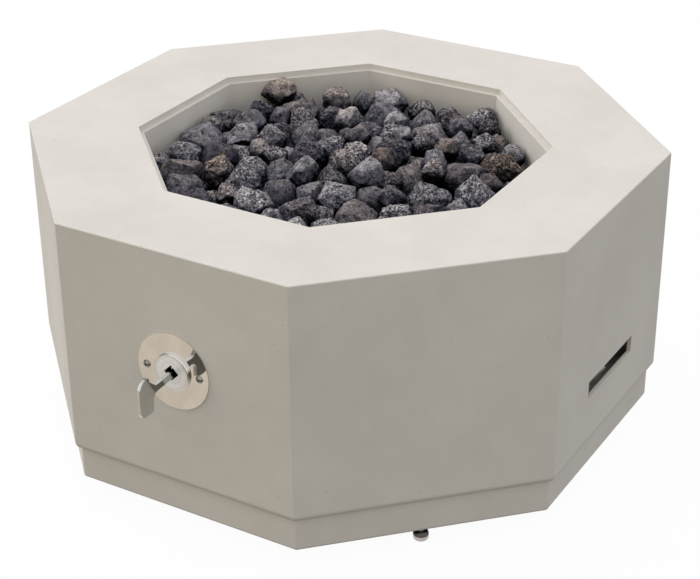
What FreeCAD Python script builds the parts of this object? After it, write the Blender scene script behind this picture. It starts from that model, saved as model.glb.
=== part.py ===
import FreeCAD, Part
import math
import os
import random
from FreeCAD import Vector

# Octagonal cast-concrete gas fire bowl. Millimetres, +Z up. The origin is on the floor under the
# bowl's axis, the key valve faces -Y, and the octagon's flats face X, Y and the diagonals.

# Cast body
body_across_flats = 600.0
body_height = 242.5
body_wall = 24.0
top_thickness = 24.0
plinth_height = 34.5
plinth_inset = 6.0
body_corner_radius = 2.5
body_bottom_radius = 8.0
plinth_bottom_radius = 3.5
top_edge_radius = 1.2

# Bowl in the middle of the body
opening_across_flats = 387.0
lid_ledge_width = 5.0
lid_ledge_depth = 6.0
skirt_wall = 19.0
pan_shelf_drop = 96.0
pan_shelf_width = 14.0
pan_shelf_thickness = 16.0

# Air slots through the two side walls, each in a thin panel of the wall
vent_length = 105.0
vent_height = 18.5
vent_drop = 179.1
vent_panel_thickness = 4.0
vent_panel_length = 195.0
vent_panel_height = 66.0

# Levelling feet
foot_drop = 14.0
pad_radius = 7.5
pad_base_radius = 6.1
pad_band_low = 2.8
pad_band_high = 4.6
pad_top_radius = 4.6
pad_height = 10.0
pad_socket_depth = 5.5
pad_base_bulge = 0.3
pad_crown_bulge = 0.8
stud_radius = 3.0
insert_radius = 4.5
insert_length = 25.0
stud_top_clearance = 0.5

# Burner
pan_thickness = 1.5
pan_side_height = 14.0
pan_play = 1.5
weep_hole_radius = 4.0
weep_circle_radius = 110.0
weep_count = 8
ring_radius = 152.4
ring_tube_radius = 9.5
ring_tube_wall = 1.2
ring_lift = 4.0
port_radius = 1.6
port_count = 24
port_tilt = 35.0
hub_radius = 22.0
hub_height = 26.5
hub_chamber_radius = 13.0
hub_roof = 4.0
hub_floor = 3.5
hub_throat_radius = 6.0
spigot_radius = 12.0
spigot_length = 20.5
arm_seat = 8.0
hub_washer_radius = 19.0
hub_washer_thickness = 1.5
hub_nut_flats = 34.0
hub_nut_height = 7.0

# Gas fittings
gas_bore_radius = 4.5
flare_radius = 7.94
flare_length = 12.0
flare_nose_length = 3.0
flare_lip = 0.8
pipe_thread_radius = 8.0
pipe_thread_length = 13.0
elbow_radius = 10.0
elbow_arm = 26.0
hub_elbow_drop = 45.0
jet_length = 9.0
jet_hole_radius = 1.2
inlet_elbow_arm = 18.0
inlet_leg = 22.0
line_radius = 6.0
line_wall = 1.0
line_nut_flats = 20.0
line_nut_back = 8.0
line_valve_run = 62.0
line_hub_run = 68.0
line_side_x = 168.0
line_side_run = 84.0
line_rear_x = 160.0
line_rear_y = -62.0
line_side_rise = 0.25
line_rear_rise = 0.05
line_bend_share = 0.45

# Key valve
valve_drop = 117.8
valve_behind_wall = 28.0
valve_barrel_radius = 14.0
valve_half_length = 35.0
nose_radius = 12.0
nose_reach = 1.5
wall_hole_radius = 14.0
wall_washer_radius = 20.0
wall_washer_thickness = 1.5
wall_nut_flats = 32.0
wall_nut_height = 7.0
ball_radius = 10.0
ball_slot_depth = 3.0
ball_slot_width = 4.2
seat_inner_face = 6.5
seat_outer_face = 16.0
cavity_radius = 10.3
fitting_hex_flats = 26.0
fitting_hex_length = 7.0
stem_radius = 8.0
stem_ball_gap = 0.8
tang_width = 4.0
tang_length = 11.0
gland_radius = 10.0
gland_length = 6.0
gland_hole_radius = 6.0
seal_position = 12.0
seal_section_radius = 0.85
socket_depth = 20.5
plate_radius = 38.5
plate_thickness = 1.5
plate_hole_radius = 12.6
bezel_radius = 18.8
bezel_height = 3.0
bezel_edge_radius = 1.2
bezel_face_thickness = 1.2
bezel_square = 11.4
plate_screw_offset = 28.8
plate_screw_radius = 1.9
plate_screw_hole_radius = 2.2
plate_screw_head_radius = 3.9
plate_screw_head_height = 2.4
plate_screw_dome_radius = 4.8
plate_screw_length = 22.0
recess_width = 0.8
recess_length = 3.2
recess_depth = 1.2
plug_radius = 3.0
plug_length = 22.0
plug_tip_wall = 1.0

# Removable key, stamped from plate, with a square end
key_end_side = 6.35
key_end_clearance = 1.0
key_thickness = 3.6
key_reach = 53.5
key_bar_top = 2.4
key_bar_bottom = -4.7
key_bar_fall = 1.4
paddle_length = 19.5
paddle_crown_length = 14.5
paddle_top = 14.2
paddle_bottom = -23.7
paddle_brow_radius = 11.0
paddle_chin_radius = 7.0
paddle_back_radius = 3.4
neck_length = 4.0
neck_rise = 4.0
neck_radius = 5.0
key_edge_radius = 0.5

# Clearances
seated_gap = 0.05
turning_gap = 0.06
socket_gap = 0.15
thread_end_gap = 1.0

# How far a cutting tool runs past the face it cuts, and how near two places count as one
hole_gap = 1.0
same_place = 0.01
same_corner = 1e-6

# Lava rock. The filling is heaped in the middle and towards the back left, where one stone
# leans on the wall above the rest.
leaning_rock_x = -143.0
leaning_rock_y = 108.0
leaning_rock_drop = 18.0
leaning_rock_radius = 18.0
rock_seed = 14
rock_gap = 0.25
rock_wall_gap = 0.5
rock_small = 13.0
rock_large = 27.0
rock_wall_drop = 25.0
rock_heap_rise = 14.0
rock_lean_rise = 9.0
rock_lean_angle = 125.0
rock_crown = 0.78
rock_heap_radius = 185.0
rock_packing = 0.845
rock_tries = 16000
rock_base_small = 9.5
rock_base_large = 14.5
rock_base_tries = 1200
rock_top_depth = 32.0
rock_wall_share = 0.86
rock_rest_share = 0.8
rock_side_share = 0.72
rock_neighbour_share = 1.7
rock_facets = 18
rock_facet_tries = 200
rock_facet_swing = 0.8
rock_facet_tilt = 0.38
rock_plane_play = 0.15
rock_stretch = (0.76, 1.18)
rock_reach = (0.85, 1.04)
rock_shortest_edge = 0.12
ring_side_margin = 3.0
golden_angle = 2.4

# Heights and faces that follow from the sizes above
plinth_bottom = foot_drop
body_bottom = plinth_bottom + plinth_height
top = body_bottom + body_height
ceiling = top - top_thickness
front_face = -body_across_flats / 2
inner_across_flats = body_across_flats - 2 * body_wall
bowl_across_flats = opening_across_flats - 2 * lid_ledge_width
shelf_across_flats = bowl_across_flats - 2 * pan_shelf_width
pan_shelf = top - pan_shelf_drop
pan_floor = pan_shelf + pan_thickness
foot_circle_radius = body_across_flats / 2 - (plinth_inset + body_wall) / 2
foot_angles = {"front_right": -45, "back_right": 45, "back_left": 135, "front_left": -135}
hub_bottom = pan_floor
hub_top = hub_bottom + hub_height
ring_height = pan_floor + ring_lift + ring_tube_radius
hub_elbow_height = pan_shelf - hub_elbow_drop
valve_height = top - valve_drop
valve_y = front_face + body_wall + valve_behind_wall
plate_face = front_face - plate_thickness
nose_face = plate_face - nose_reach
bezel_face = plate_face - bezel_height
plug_end = front_face + plug_length
stem_front = nose_face + gland_length + socket_gap
stem_back = valve_y - ball_radius - stem_ball_gap
socket_end = stem_front + socket_depth
key_tip = front_face - key_reach
key_crown = key_tip + paddle_crown_length
key_shoulder = key_tip + paddle_length
hub_port_end = elbow_arm + flare_length
valve_port_end = valve_half_length + fitting_hex_length + flare_length
X_AXIS = Vector(1, 0, 0)
Y_AXIS = Vector(0, 1, 0)
Z_AXIS = Vector(0, 0, 1)


def save(node, shape):
    """Write one sub-part."""
    shape.exportStep("parts/" + node + ".step")


def octagon_corner(across_flats, index):
    """Corner of an octagon whose flats face X, Y and the diagonals."""
    angle = math.radians(22.5 + 45 * index)
    reach = across_flats / 2 / math.cos(math.radians(22.5))
    return reach * math.cos(angle), reach * math.sin(angle)


def octagon_prism(across_flats, low, high):
    """Upright octagonal prism between two heights."""
    corners = [octagon_corner(across_flats, i % 8) for i in range(9)]
    outline = Part.makePolygon([Vector(x, y, low) for x, y in corners])
    return Part.Face(outline).extrude(Vector(0, 0, high - low))


def upright(radius, low, high, x=0.0, y=0.0):
    """Cylinder along Z between two heights."""
    return Part.makeCylinder(radius, high - low, Vector(x, y, low), Z_AXIS)


def along_x(radius, start, end, y, z):
    """Cylinder along X between two x values."""
    return Part.makeCylinder(radius, end - start, Vector(start, y, z), X_AXIS)


def along_y(radius, front, back, x=0.0, z=valve_height):
    """Cylinder along Y between two y values, on the valve's axis unless told otherwise."""
    return Part.makeCylinder(radius, back - front, Vector(x, front, z), Y_AXIS)


def block(x_range, y_range, z_range):
    """Box between two values on each axis."""
    corner = Vector(x_range[0], y_range[0], z_range[0])
    size = (x_range[1] - x_range[0], y_range[1] - y_range[0], z_range[1] - z_range[0])
    return Part.makeBox(*size, corner)


def hexagon(flats, length, place, direction):
    """Hexagonal prism of a nut, from place along direction."""
    side = X_AXIS if direction.z else Z_AXIS
    other = direction.cross(side)
    reach = flats / math.sqrt(3)
    corners = []
    for i in range(7):
        angle = math.radians(60 * (i % 6))
        corners.append(place + side * (reach * math.cos(angle)) + other * (reach * math.sin(angle)))
    return Part.Face(Part.makePolygon(corners)).extrude(direction * length)


def level_edges(shape, height):
    """Straight edges of a shape that lie at one height."""
    found = []
    for edge in shape.Edges:
        box = edge.BoundBox
        if abs(box.ZMin - height) < same_place and abs(box.ZMax - height) < same_place:
            found.append(edge)
    return found


def upright_edges(shape):
    """Vertical edges of a shape."""
    return [edge for edge in shape.Edges if edge.BoundBox.ZLength > same_place]


def rounded_prism(across_flats, low, high, corner_radius, bottom_radius):
    """Octagonal prism with rounded corners and a rounded bottom edge."""
    prism = octagon_prism(across_flats, low, high)
    prism = prism.makeFillet(corner_radius, upright_edges(prism))
    return prism.makeFillet(bottom_radius, level_edges(prism, low))


def foot_place(angle):
    """x and y of the foot at an angle round the bowl."""
    turn = math.radians(angle)
    return foot_circle_radius * math.cos(turn), foot_circle_radius * math.sin(turn)


def concrete_shell():
    """One casting: walls, top ring, plinth, bowl skirt with lid ledge and pan shelf."""
    body = rounded_prism(body_across_flats, body_bottom, top, body_corner_radius, body_bottom_radius)
    body = body.makeFillet(top_edge_radius, level_edges(body, top))
    plinth_flats = body_across_flats - 2 * plinth_inset
    plinth = rounded_prism(
        plinth_flats, plinth_bottom, body_bottom + top_thickness, body_corner_radius, plinth_bottom_radius
    )
    cavity = octagon_prism(inner_across_flats, plinth_bottom - hole_gap, ceiling)
    skirt_low = pan_shelf - pan_shelf_thickness
    skirt = octagon_prism(bowl_across_flats + 2 * skirt_wall, skirt_low, top - top_thickness / 2)
    shell = body.fuse(plinth).cut(cavity).fuse(skirt).removeSplitter()
    mouth = octagon_prism(opening_across_flats, top - lid_ledge_depth, top + hole_gap)
    bowl = octagon_prism(bowl_across_flats, pan_shelf, top)
    shelf_hole = octagon_prism(shelf_across_flats, skirt_low - hole_gap, top)
    shell = shell.cut(mouth).cut(bowl).cut(shelf_hole)
    return shell.cut(wall_openings()).cut(foot_pockets()).removeSplitter()


def through_walls(half_reach, length, height):
    """Bar along X at the air slots' height, for cutting both side walls alike."""
    middle = top - vent_drop
    return block(
        (-half_reach, half_reach),
        (-length / 2, length / 2),
        (middle - height / 2, middle + height / 2),
    )


def wall_openings():
    """Air slots with their thin panels, valve hole and the holes for the plate's wall plugs."""
    half_width = body_across_flats / 2
    slots = through_walls(half_width + hole_gap, vent_length, vent_height)
    panels = through_walls(half_width - vent_panel_thickness, vent_panel_length, vent_panel_height)
    hole = along_y(wall_hole_radius, front_face - hole_gap, front_face + body_wall + hole_gap)
    cuts = slots.fuse(panels).fuse(hole)
    for side in (-1, 1):
        x = side * plate_screw_offset
        cuts = cuts.fuse(along_y(plug_radius + seated_gap, front_face - hole_gap, plug_end, x))
    return cuts


def foot_pockets():
    """Blind holes in the plinth's underside for the threaded inserts."""
    pockets = []
    for angle in foot_angles.values():
        x, y = foot_place(angle)
        high = plinth_bottom + insert_length
        pockets.append(upright(insert_radius + seated_gap, plinth_bottom - hole_gap, high, x, y))
    return Part.makeCompound(pockets)


def foot_inserts():
    """Threaded brass inserts cast into the plinth."""
    inserts = []
    for angle in foot_angles.values():
        x, y = foot_place(angle)
        sleeve = upright(insert_radius, plinth_bottom, plinth_bottom + insert_length, x, y)
        inserts.append(sleeve.cut(upright(stud_radius + turning_gap, 0, top, x, y)))
    return Part.makeCompound(inserts)


def foot_pad(angle):
    """Domed glide that stands on the floor, with a socket for its stud."""
    rim_low = Vector(pad_radius, 0, pad_band_low)
    rim_high = Vector(pad_radius, 0, pad_band_high)
    base = Vector(pad_base_radius, 0, 0)
    crown = Vector(pad_top_radius, 0, pad_height)
    low_bulge = (base + rim_low) * 0.5 + Vector(pad_base_bulge, 0, -pad_base_bulge)
    high_bulge = (rim_high + crown) * 0.5 + Vector(pad_crown_bulge, 0, pad_crown_bulge)
    edges = [
        Part.LineSegment(Vector(0, 0, 0), base).toShape(),
        Part.Arc(base, low_bulge, rim_low).toShape(),
        Part.LineSegment(rim_low, rim_high).toShape(),
        Part.Arc(rim_high, high_bulge, crown).toShape(),
        Part.LineSegment(crown, Vector(0, 0, pad_height)).toShape(),
        Part.LineSegment(Vector(0, 0, pad_height), Vector(0, 0, 0)).toShape(),
    ]
    pad = Part.Face(Part.Wire(edges)).revolve(Vector(0, 0, 0), Z_AXIS, 360)
    socket = upright(stud_radius + turning_gap, pad_height - pad_socket_depth, pad_height + hole_gap)
    pad = pad.cut(socket)
    x, y = foot_place(angle)
    pad.translate(Vector(x, y, 0))
    return pad


def foot_stud(angle):
    """Threaded stud between the glide's socket and the insert."""
    x, y = foot_place(angle)
    low = pad_height - pad_socket_depth + turning_gap
    return upright(stud_radius, low, plinth_bottom + insert_length - stud_top_clearance, x, y)


def burner_pan():
    """Folded stainless tray that lies on the bowl's shelf."""
    pan_flats = bowl_across_flats - 2 * pan_play
    tray = octagon_prism(pan_flats, pan_shelf, pan_floor + pan_side_height)
    inside = octagon_prism(pan_flats - 2 * pan_thickness, pan_floor, pan_floor + pan_side_height + hole_gap)
    holes = [upright(spigot_radius + socket_gap, pan_shelf - hole_gap, pan_floor + hole_gap)]
    for i in range(weep_count):
        turn = math.radians(360 * (i + 0.5) / weep_count)
        x = weep_circle_radius * math.cos(turn)
        y = weep_circle_radius * math.sin(turn)
        holes.append(upright(weep_hole_radius, pan_shelf - hole_gap, pan_floor + hole_gap, x, y))
    return tray.cut(inside).cut(Part.makeCompound(holes))


def burner_ring():
    """Round tube with gas ports on its crown, open where the arms enter."""
    centre = Vector(0, 0, ring_height)
    tube = Part.makeTorus(ring_radius, ring_tube_radius, centre, Z_AXIS)
    tube = tube.cut(Part.makeTorus(ring_radius, ring_tube_radius - ring_tube_wall, centre, Z_AXIS))
    cuts = []
    for i in range(port_count):
        turn = math.radians(360 * (i + 0.5) / port_count)
        lean = math.radians(port_tilt if i % 2 else -port_tilt)
        outward = Vector(math.cos(turn), math.sin(turn), 0)
        start = outward * ring_radius + centre
        direction = outward * math.sin(lean) + Z_AXIS * math.cos(lean)
        cuts.append(Part.makeCylinder(port_radius, 2 * ring_tube_radius, start, direction))
    inner = ring_tube_radius - ring_tube_wall
    for side in (-1, 1):
        start = Vector(0, 0, ring_height)
        cuts.append(Part.makeCylinder(inner, ring_radius, start, X_AXIS * side))
    return tube.cut(Part.makeCompound(cuts))


def burner_arms():
    """Two tubes that carry the ring and feed it from the hub."""
    arms = []
    for side in (-1, 1):
        start = X_AXIS * (side * (hub_radius - arm_seat)) + Z_AXIS * ring_height
        length = ring_radius - (hub_radius - arm_seat)
        arm = Part.makeCylinder(ring_tube_radius, length, start, X_AXIS * side)
        arm = arm.cut(Part.makeCylinder(ring_tube_radius - ring_tube_wall, length, start, X_AXIS * side))
        ring = Part.makeTorus(ring_radius, ring_tube_radius + seated_gap, Z_AXIS * ring_height, Z_AXIS)
        arm = arm.cut(ring)
        arms.append(max(arm.Solids, key=lambda solid: solid.Volume))
    return Part.makeCompound(arms)


def burner_hub():
    """Turned hub on the pan, with a threaded spigot through it."""
    hub = upright(hub_radius, hub_bottom, hub_top)
    hub = hub.fuse(upright(spigot_radius, hub_bottom - spigot_length, hub_bottom + hub_floor / 2))
    chamber = upright(hub_chamber_radius, hub_bottom + hub_floor, hub_top - hub_roof)
    throat = upright(hub_throat_radius, hub_bottom - spigot_length, hub_bottom + hub_floor + hole_gap)
    thread = upright(
        pipe_thread_radius + seated_gap,
        hub_bottom - spigot_length - hole_gap,
        hub_bottom - spigot_length + pipe_thread_length,
    )
    hub = hub.cut(chamber).cut(throat).cut(thread)
    for side in (-1, 1):
        start = X_AXIS * (side * (hub_radius - arm_seat)) + Z_AXIS * ring_height
        seat = Part.makeCylinder(ring_tube_radius + seated_gap, 2 * arm_seat, start, X_AXIS * side)
        way = Part.makeCylinder(
            ring_tube_radius - ring_tube_wall, hub_radius, Z_AXIS * ring_height, X_AXIS * side
        )
        hub = hub.cut(seat).cut(way)
    return hub


def hub_washer():
    """Washer under the pan."""
    low = pan_shelf - hub_washer_thickness
    washer = upright(hub_washer_radius, low, pan_shelf)
    return washer.cut(upright(spigot_radius + socket_gap, low - hole_gap, pan_shelf + hole_gap))


def hub_nut():
    """Lock nut that clamps the hub to the pan."""
    high = pan_shelf - hub_washer_thickness
    nut = hexagon(hub_nut_flats, hub_nut_height, Vector(0, 0, high - hub_nut_height), Z_AXIS)
    return nut.cut(upright(spigot_radius + seated_gap, high - hub_nut_height - hole_gap, high + hole_gap))


def flare_nose(start, direction):
    """Male flare: a threaded length that ends in a cone, with no bore yet."""
    straight = flare_length - flare_nose_length
    thread = Part.makeCylinder(flare_radius, straight, start, direction)
    tip_radius = gas_bore_radius + flare_lip
    shoulder = start + direction * straight
    nose = Part.makeCone(flare_radius, tip_radius, flare_nose_length, shoulder, direction)
    return thread.fuse(nose)


def hub_elbow():
    """Brass elbow between the hub's spigot and the gas line."""
    centre = Vector(0, 0, hub_elbow_height)
    thread_low = hub_bottom - spigot_length
    elbow = Part.makeSphere(elbow_radius, centre)
    elbow = elbow.fuse(upright(elbow_radius, hub_elbow_height, thread_low))
    thread_high = thread_low + pipe_thread_length - thread_end_gap
    elbow = elbow.fuse(upright(pipe_thread_radius, thread_low, thread_high))
    elbow = elbow.fuse(along_x(elbow_radius, 0, elbow_arm, 0, hub_elbow_height))
    elbow = elbow.fuse(flare_nose(centre + X_AXIS * elbow_arm, X_AXIS))
    elbow = elbow.cut(upright(gas_bore_radius, hub_elbow_height, hub_bottom))
    elbow = elbow.cut(along_x(gas_bore_radius, 0, hub_port_end + hole_gap, 0, hub_elbow_height))
    return elbow.cut(Part.makeSphere(gas_bore_radius, centre))


def orifice_jet():
    """Drilled brass jet pressed into the elbow's upright leg."""
    high = hub_bottom - spigot_length + pipe_thread_length - 2 * thread_end_gap
    jet = upright(gas_bore_radius - seated_gap, high - jet_length, high)
    return jet.cut(upright(jet_hole_radius, high - jet_length - hole_gap, high + hole_gap))


def inlet_elbow():
    """Brass elbow on the valve's inlet, with its male flare pointing at the floor."""
    middle = -valve_half_length - inlet_elbow_arm
    centre = Vector(middle, valve_y, valve_height)
    elbow = Part.makeSphere(elbow_radius, centre)
    elbow = elbow.fuse(along_x(elbow_radius, middle, -valve_half_length, valve_y, valve_height))
    thread_end = -valve_half_length + pipe_thread_length - thread_end_gap
    elbow = elbow.fuse(along_x(pipe_thread_radius, -valve_half_length, thread_end, valve_y, valve_height))
    elbow = elbow.fuse(upright(elbow_radius, valve_height - inlet_leg, valve_height, middle, valve_y))
    elbow = elbow.fuse(flare_nose(centre - Z_AXIS * inlet_leg, Z_AXIS * -1))
    flare_end = valve_height - inlet_leg - flare_length
    elbow = elbow.cut(upright(gas_bore_radius, flare_end - hole_gap, valve_height, middle, valve_y))
    elbow = elbow.cut(along_x(gas_bore_radius, middle, thread_end + hole_gap, valve_y, valve_height))
    return elbow.cut(Part.makeSphere(gas_bore_radius, centre))


def line_path():
    """Route of the gas line: straight runs joined by arcs that touch both."""
    rise = valve_height - hub_elbow_height
    points = [
        Vector(valve_port_end + turning_gap, valve_y, valve_height),
        Vector(valve_port_end + line_valve_run, valve_y, valve_height),
        Vector(line_side_x, valve_y + line_side_run, hub_elbow_height + line_side_rise * rise),
        Vector(line_rear_x, line_rear_y, hub_elbow_height + line_rear_rise * rise),
        Vector(hub_port_end + line_hub_run, 0, hub_elbow_height),
        Vector(hub_port_end + turning_gap, 0, hub_elbow_height),
    ]
    edges = []
    here = points[0]
    for before, corner, after in zip(points, points[1:], points[2:]):
        first = corner - before
        second = after - corner
        turn = first.getAngle(second)
        setback = line_bend_share * min(first.Length, second.Length)
        radius = setback / math.tan(turn / 2)
        start = corner - first.normalize() * setback
        end = corner + second.normalize() * setback
        inward = (second - first).normalize()
        middle = corner + inward * (radius / math.cos(turn / 2) - radius)
        edges.append(Part.LineSegment(here, start).toShape())
        edges.append(Part.Arc(start, middle, end).toShape())
        here = end
    edges.append(Part.LineSegment(here, points[-1]).toShape())
    return Part.Wire(edges), points


def gas_line():
    """Flexible stainless line from the valve to the burner."""
    path, points = line_path()
    tubes = []
    for radius in (line_radius, line_radius - line_wall):
        circle = Part.Wire(Part.makeCircle(radius, points[0], points[1] - points[0]))
        tubes.append(path.makePipeShell([circle], True, False))
    return tubes[0].cut(tubes[1])


def line_nut(end, backward):
    """Flare nut: end is the fitting's tip and backward points along the line."""
    start = end - backward * (flare_length - thread_end_gap)
    length = flare_length - thread_end_gap + line_nut_back
    nut = hexagon(line_nut_flats, length, start, backward)
    front = start - backward * hole_gap
    thread = Part.makeCylinder(flare_radius + seated_gap, flare_length, front, backward)
    way = Part.makeCylinder(line_radius + socket_gap, length + 2 * hole_gap, front, backward)
    return nut.cut(thread).cut(way)


def line_nuts():
    """The gas line's two flare nuts."""
    valve_end = Vector(valve_port_end, valve_y, valve_height)
    hub_end = Vector(hub_port_end, 0, hub_elbow_height)
    return Part.makeCompound([line_nut(valve_end, X_AXIS), line_nut(hub_end, X_AXIS)])


def valve_body():
    """Brass ball-valve body with a threaded nose that passes through the wall."""
    body = along_x(valve_barrel_radius, -valve_half_length, valve_half_length, valve_y, valve_height)
    body = body.fuse(along_y(nose_radius, nose_face, valve_y))
    cavity = along_x(cavity_radius, -seat_outer_face, valve_half_length + hole_gap, valve_y, valve_height)
    bore = along_x(gas_bore_radius, -valve_half_length, 0, valve_y, valve_height)
    port_end = -valve_half_length + pipe_thread_length
    port = along_x(
        pipe_thread_radius + seated_gap, -valve_half_length - hole_gap, port_end, valve_y, valve_height
    )
    stem_bore = along_y(stem_radius + turning_gap, nose_face, valve_y)
    gland_seat = along_y(gland_radius + seated_gap, nose_face - hole_gap, nose_face + gland_length)
    return body.cut(cavity).cut(bore).cut(port).cut(stem_bore).cut(gland_seat)


def valve_ball():
    """Ball with its bore upright, across the gas way, in the shut position."""
    centre = Vector(0, valve_y, valve_height)
    ball = Part.makeSphere(ball_radius, centre)
    low = valve_height - ball_radius
    ball = ball.cut(upright(gas_bore_radius, low, valve_height + ball_radius, 0, valve_y))
    slot = block(
        (-ball_slot_width / 2, ball_slot_width / 2),
        (valve_y - ball_radius - hole_gap, valve_y - ball_radius + ball_slot_depth),
        (valve_height - ball_radius, valve_height + ball_radius),
    )
    return ball.cut(slot)


def ball_seats():
    """Two sealing rings that hold the ball."""
    seats = []
    for start, end in ((-seat_outer_face, -seat_inner_face), (seat_inner_face, seat_outer_face)):
        seat = along_x(cavity_radius - seated_gap, start, end, valve_y, valve_height)
        seat = seat.cut(along_x(gas_bore_radius, start - hole_gap, end + hole_gap, valve_y, valve_height))
        ball_way = Part.makeSphere(ball_radius + turning_gap, Vector(0, valve_y, valve_height))
        seats.append(seat.cut(ball_way))
    return Part.makeCompound(seats)


def outlet_fitting():
    """End connector that closes the valve body and carries the outgoing flare."""
    centre_line = (valve_y, valve_height)
    fitting = along_x(
        cavity_radius - seated_gap, seat_outer_face + seated_gap, valve_half_length, *centre_line
    )
    hex_start = Vector(valve_half_length, valve_y, valve_height)
    fitting = fitting.fuse(hexagon(fitting_hex_flats, fitting_hex_length, hex_start, X_AXIS))
    fitting = fitting.fuse(flare_nose(hex_start + X_AXIS * fitting_hex_length, X_AXIS))
    return fitting.cut(along_x(gas_bore_radius, 0, valve_port_end + hole_gap, *centre_line))


def square_bar(side, front, back):
    """Square bar on the valve's axis."""
    half = side / 2
    return block((-half, half), (front, back), (valve_height - half, valve_height + half))


def valve_stem():
    """Stem with a square socket for the key, a seal groove and a tang for the ball."""
    stem = along_y(stem_radius, stem_front, stem_back)
    tang = block(
        (-tang_width / 2, tang_width / 2),
        (stem_back - hole_gap, valve_y - ball_radius + ball_slot_depth - socket_gap),
        (valve_height - tang_length / 2, valve_height + tang_length / 2),
    )
    groove_middle = socket_end + seal_position
    groove_half = seal_section_radius + seated_gap
    groove = along_y(stem_radius + hole_gap, groove_middle - groove_half, groove_middle + groove_half)
    core = stem_radius - 2 * seal_section_radius - seated_gap
    groove = groove.cut(along_y(core, groove_middle - hole_gap, groove_middle + hole_gap))
    socket = square_bar(key_end_side + 2 * socket_gap, stem_front - hole_gap, socket_end)
    return stem.fuse(tang).cut(groove).cut(socket)


def stem_seal():
    """Rubber ring in the stem's groove."""
    place = Vector(0, socket_end + seal_position, valve_height)
    return Part.makeTorus(stem_radius - seal_section_radius, seal_section_radius, place, Y_AXIS)


def stem_gland():
    """Threaded ring that keeps the stem in the nose."""
    ring = along_y(gland_radius, nose_face, nose_face + gland_length)
    return ring.cut(along_y(gland_hole_radius, nose_face - hole_gap, nose_face + gland_length + hole_gap))


def wall_washer():
    """Steel washer behind the front wall."""
    face = front_face + body_wall
    back = face + wall_washer_thickness
    washer = along_y(wall_washer_radius, face, back)
    return washer.cut(along_y(nose_radius + socket_gap, face - hole_gap, back + hole_gap))


def wall_nut():
    """Nut that pulls the valve's nose against the front wall."""
    face = front_face + body_wall + wall_washer_thickness
    nut = hexagon(wall_nut_flats, wall_nut_height, Vector(0, face, valve_height), Y_AXIS)
    return nut.cut(along_y(nose_radius + seated_gap, face - hole_gap, face + wall_nut_height + hole_gap))


def valve_plate():
    """Thin polished disc against the wall."""
    plate = along_y(plate_radius, plate_face, front_face)
    cuts = [along_y(plate_hole_radius, plate_face - hole_gap, front_face + hole_gap)]
    for side in (-1, 1):
        x = side * plate_screw_offset
        cuts.append(along_y(plate_screw_hole_radius, plate_face - hole_gap, front_face + hole_gap, x))
    return plate.cut(Part.makeCompound(cuts))


def valve_bezel():
    """Low boss screwed on the nose, with a square hole on its corner for the key."""
    bezel = along_y(bezel_radius, bezel_face, plate_face)
    front_edges = [edge for edge in bezel.Edges if abs(edge.BoundBox.YMax - bezel_face) < same_place]
    bezel = bezel.makeFillet(bezel_edge_radius, front_edges)
    seat = along_y(nose_radius + seated_gap, bezel_face + bezel_face_thickness, plate_face + hole_gap)
    square = square_bar(bezel_square, bezel_face - hole_gap, plate_face + hole_gap)
    square.rotate(Vector(0, 0, valve_height), Y_AXIS, 45)
    return bezel.cut(seat).cut(square)


def plate_screws():
    """Two cross-recessed pan-head screws."""
    screws = []
    for side in (-1, 1):
        x = side * plate_screw_offset
        place = Vector(x, plate_face, valve_height)
        head = along_y(plate_screw_head_radius, plate_face - plate_screw_head_height, plate_face, x)
        dome_middle = place + Y_AXIS * (plate_screw_dome_radius - plate_screw_head_height)
        dome = Part.makeSphere(plate_screw_dome_radius, dome_middle)
        shank = along_y(plate_screw_radius, plate_face, plate_face + plate_screw_length, x)
        screw = head.common(dome).fuse(shank)
        for length, width in ((recess_length, recess_width), (recess_width, recess_length)):
            screw = screw.cut(
                block(
                    (x - length / 2, x + length / 2),
                    (
                        plate_face - plate_screw_head_height - hole_gap,
                        plate_face - plate_screw_head_height + recess_depth,
                    ),
                    (valve_height - width / 2, valve_height + width / 2),
                )
            )
        screws.append(screw)
    return Part.makeCompound(screws)


def wall_plugs():
    """Plastic plugs in the wall that the plate's screws bite into."""
    plugs = []
    for side in (-1, 1):
        x = side * plate_screw_offset
        plug = along_y(plug_radius, front_face, plug_end, x)
        way = along_y(plate_screw_radius + seated_gap, front_face - hole_gap, plug_end - plug_tip_wall, x)
        plugs.append(plug.cut(way))
    return Part.makeCompound(plugs)


def edges_at(shape, corner):
    """Edges along X that run through a place in the YZ plane."""
    found = []
    for edge in shape.Edges:
        middle = edge.BoundBox.Center
        off = max(abs(middle.y - corner.y), abs(middle.z - corner.z))
        if off < same_place and edge.BoundBox.XLength > same_place:
            found.append(edge)
    return found


def key_outline():
    """Corners of the key's plate from the bar's top round: y, height over the valve's axis, radius."""
    bar_end = stem_front - socket_gap
    neck = key_shoulder + neck_length
    low_top = key_bar_top - key_bar_fall
    low_bottom = key_bar_bottom - key_bar_fall
    return [
        (bar_end, key_bar_top, 0),
        (neck, low_top, neck_radius),
        (key_crown, low_top + 2 * neck_rise, neck_radius),
        (key_crown, paddle_top, paddle_back_radius),
        (key_tip, paddle_top, paddle_brow_radius),
        (key_tip, paddle_bottom, paddle_chin_radius),
        (key_shoulder, paddle_bottom, paddle_back_radius),
        (key_shoulder, low_bottom - neck_rise, neck_radius),
        (neck, low_bottom, neck_radius),
        (bar_end, key_bar_bottom, 0),
    ]


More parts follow.
